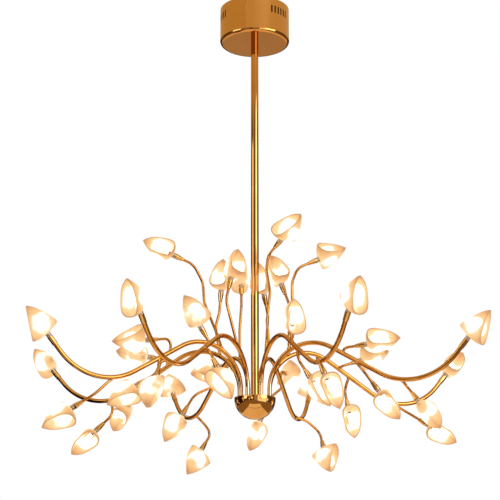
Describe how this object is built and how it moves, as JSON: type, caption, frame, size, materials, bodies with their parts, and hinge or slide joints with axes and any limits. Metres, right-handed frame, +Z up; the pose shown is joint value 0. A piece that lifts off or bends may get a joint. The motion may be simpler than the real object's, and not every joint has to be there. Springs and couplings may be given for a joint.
{
  "type": "multi arm chandelier",
  "caption": "Ceiling chandelier on a straight rod: bent brass arms branch out of a half-round bowl, and each carries thin stems ending in leaf-shaped frosted glass cups.",
  "frame": {"origin": "centre of the ceiling plate's top face, between its two screw slots, on the ceiling", "axes": "+Z up towards the ceiling, the rod hangs down along -Z; +X along the line of the two screw slots; -Y is the side seen from the front"},
  "size_m": [1.0351, 1.0432, 1.0856],
  "materials": {
    "polished_brass": "polished, warm gold",
    "socket_metal": "nickel plated, polished",
    "frosted_glass": "frosted, opal",
    "bulb_glass": "clear capsule, lit",
    "zinc_steel": "zinc plated",
    "driver_case": "moulded, matte",
    "terminal_plastic": "moulded, matte",
    "lead_sheath": "smooth PVC sheath"
  },
  "bodies": {
    "root": {"canopy": "polished_brass", "rod": "polished_brass", "bowl": "polished_brass", "stem_ferrules": "polished_brass", "tip_ferrules": "polished_brass", "arm_1_tube": "polished_brass", "arm_1_stems": "polished_brass", "arm_1_sockets": "socket_metal", "arm_1_glasses": "frosted_glass", "arm_2_tube": "polished_brass", "arm_2_stems": "polished_brass", "arm_2_sockets": "socket_metal", "arm_2_glasses": "frosted_glass", "arm_3_tube": "polished_brass", "arm_3_stems": "polished_brass", "arm_3_sockets": "socket_metal", "arm_3_glasses": "frosted_glass", "arm_4_tube": "polished_brass", "arm_4_stems": "polished_brass", "arm_4_sockets": "socket_metal", "arm_4_glasses": "frosted_glass", "arm_5_tube": "polished_brass", "arm_5_stems": "polished_brass", "arm_5_sockets": "socket_metal", "arm_5_glasses": "frosted_glass", "arm_6_tube": "polished_brass", "arm_6_stems": "polished_brass", "arm_6_sockets": "socket_metal", "arm_6_glasses": "frosted_glass", "arm_7_tube": "polished_brass", "arm_7_stems": "polished_brass", "arm_7_sockets": "socket_metal", "arm_7_glasses": "frosted_glass", "arm_8_tube": "polished_brass", "arm_8_stems": "polished_brass", "arm_8_sockets": "socket_metal", "arm_8_glasses": "frosted_glass", "bulbs": "bulb_glass", "glass_nuts": "socket_metal", "canopy_screws": "polished_brass", "ceiling_plate": "zinc_steel", "hub_plate": "polished_brass", "bowl_lugs": "zinc_steel", "hub_screws": "zinc_steel", "arm_nuts": "zinc_steel", "rod_nipple": "zinc_steel", "rod_bush": "zinc_steel", "rod_washer": "zinc_steel", "rod_nuts": "zinc_steel", "drivers": "driver_case", "terminal_block": "terminal_plastic", "joint_block": "terminal_plastic", "supply_lead": "lead_sheath"}
  },
  "joints": []
}
